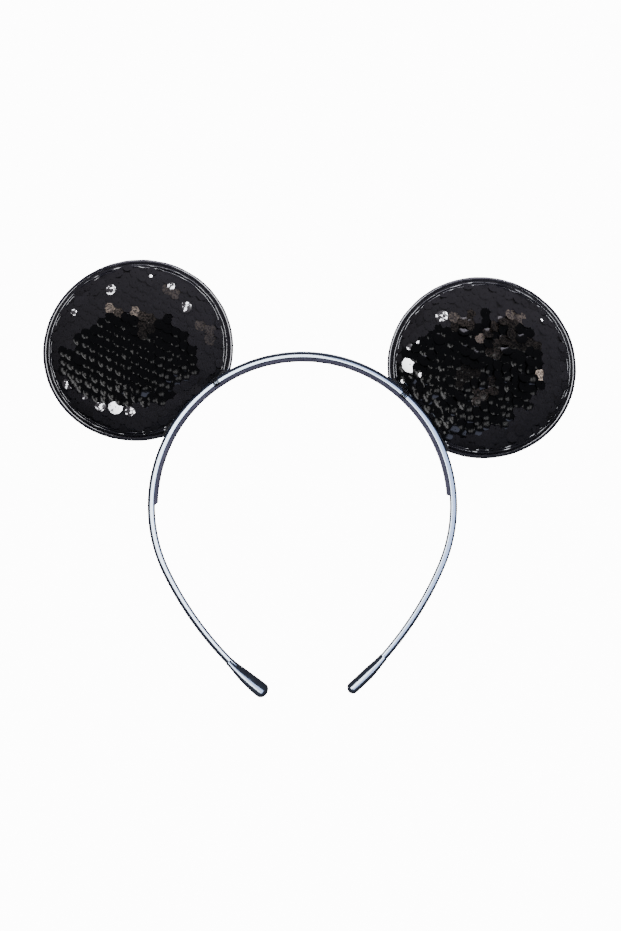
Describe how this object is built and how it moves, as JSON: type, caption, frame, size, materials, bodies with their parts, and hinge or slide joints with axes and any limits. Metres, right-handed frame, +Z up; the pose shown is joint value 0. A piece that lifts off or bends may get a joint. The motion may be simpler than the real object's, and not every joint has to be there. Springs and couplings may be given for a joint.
{
  "type": "animal ears headband",
  "caption": "Springy hoop headband with a pair of round padded sequinned animal ears, a lining strip inside the crown and rounded soft caps on its ends.",
  "frame": {"origin": "centre of the hoop's circle, where the head is held, midway front to back", "axes": "+X to the right seen from the front, +Z up through the hoop's crown, -Y towards where the wearer faces; Y is the axis of the hoop's circle"},
  "size_m": [0.2173, 0.017, 0.1813],
  "materials": {
    "hoop_plastic": "gloss",
    "lining_cloth": "matte",
    "cap_vinyl": "gloss",
    "tie_thread": "matte",
    "sequin_cloth": "satin",
    "edge_piping": "gloss",
    "wadding": "matte",
    "stiffener_card": "matte",
    "seat_felt": "matte"
  },
  "bodies": {
    "crown": {"hoop_crown": "hoop_plastic", "lining_crown": "lining_cloth"},
    "left_arm": {"hoop_left_arm": "hoop_plastic", "left_tip_cap": "cap_vinyl", "lining_left": "lining_cloth", "left_ear_tie": "tie_thread"},
    "right_arm": {"hoop_right_arm": "hoop_plastic", "right_tip_cap": "cap_vinyl", "lining_right": "lining_cloth", "right_ear_tie": "tie_thread"},
    "left_ear": {"left_ear_front_cover": "sequin_cloth", "left_ear_back_cover": "sequin_cloth", "left_ear_front_wadding": "wadding", "left_ear_back_wadding": "wadding", "left_ear_stiffener": "stiffener_card", "left_ear_piping": "edge_piping", "left_ear_seat_strip": "seat_felt"},
    "right_ear": {"right_ear_front_cover": "sequin_cloth", "right_ear_back_cover": "sequin_cloth", "right_ear_front_wadding": "wadding", "right_ear_back_wadding": "wadding", "right_ear_stiffener": "stiffener_card", "right_ear_piping": "edge_piping", "right_ear_seat_strip": "seat_felt"}
  },
  "joints": [
    {"name": "left_arm_spread", "type": "hinge", "parent": "crown", "child": "left_arm", "pos_m": [-0.01326, 0, 0.0619], "axis": [0, 1, 0], "range_deg": [0, 20], "stiffness_Nm_per_rad": 1},
    {"name": "right_arm_spread", "type": "hinge", "parent": "crown", "child": "right_arm", "pos_m": [0.01326, 0, 0.0619], "axis": [0, -1, 0], "range_deg": [0, 20], "stiffness_Nm_per_rad": 1},
    {"name": "left_ear_tilt", "type": "hinge", "parent": "left_arm", "child": "left_ear", "pos_m": [-0.04476, 0, 0.04476], "axis": [0.7071, 0, 0.7071], "range_deg": [-8, 8], "stiffness_Nm_per_rad": 0.05},
    {"name": "right_ear_tilt", "type": "hinge", "parent": "right_arm", "child": "right_ear", "pos_m": [0.05108, 0, 0.03739], "axis": [0.5906, 0, -0.807], "range_deg": [-8, 8], "stiffness_Nm_per_rad": 0.05}
  ]
}
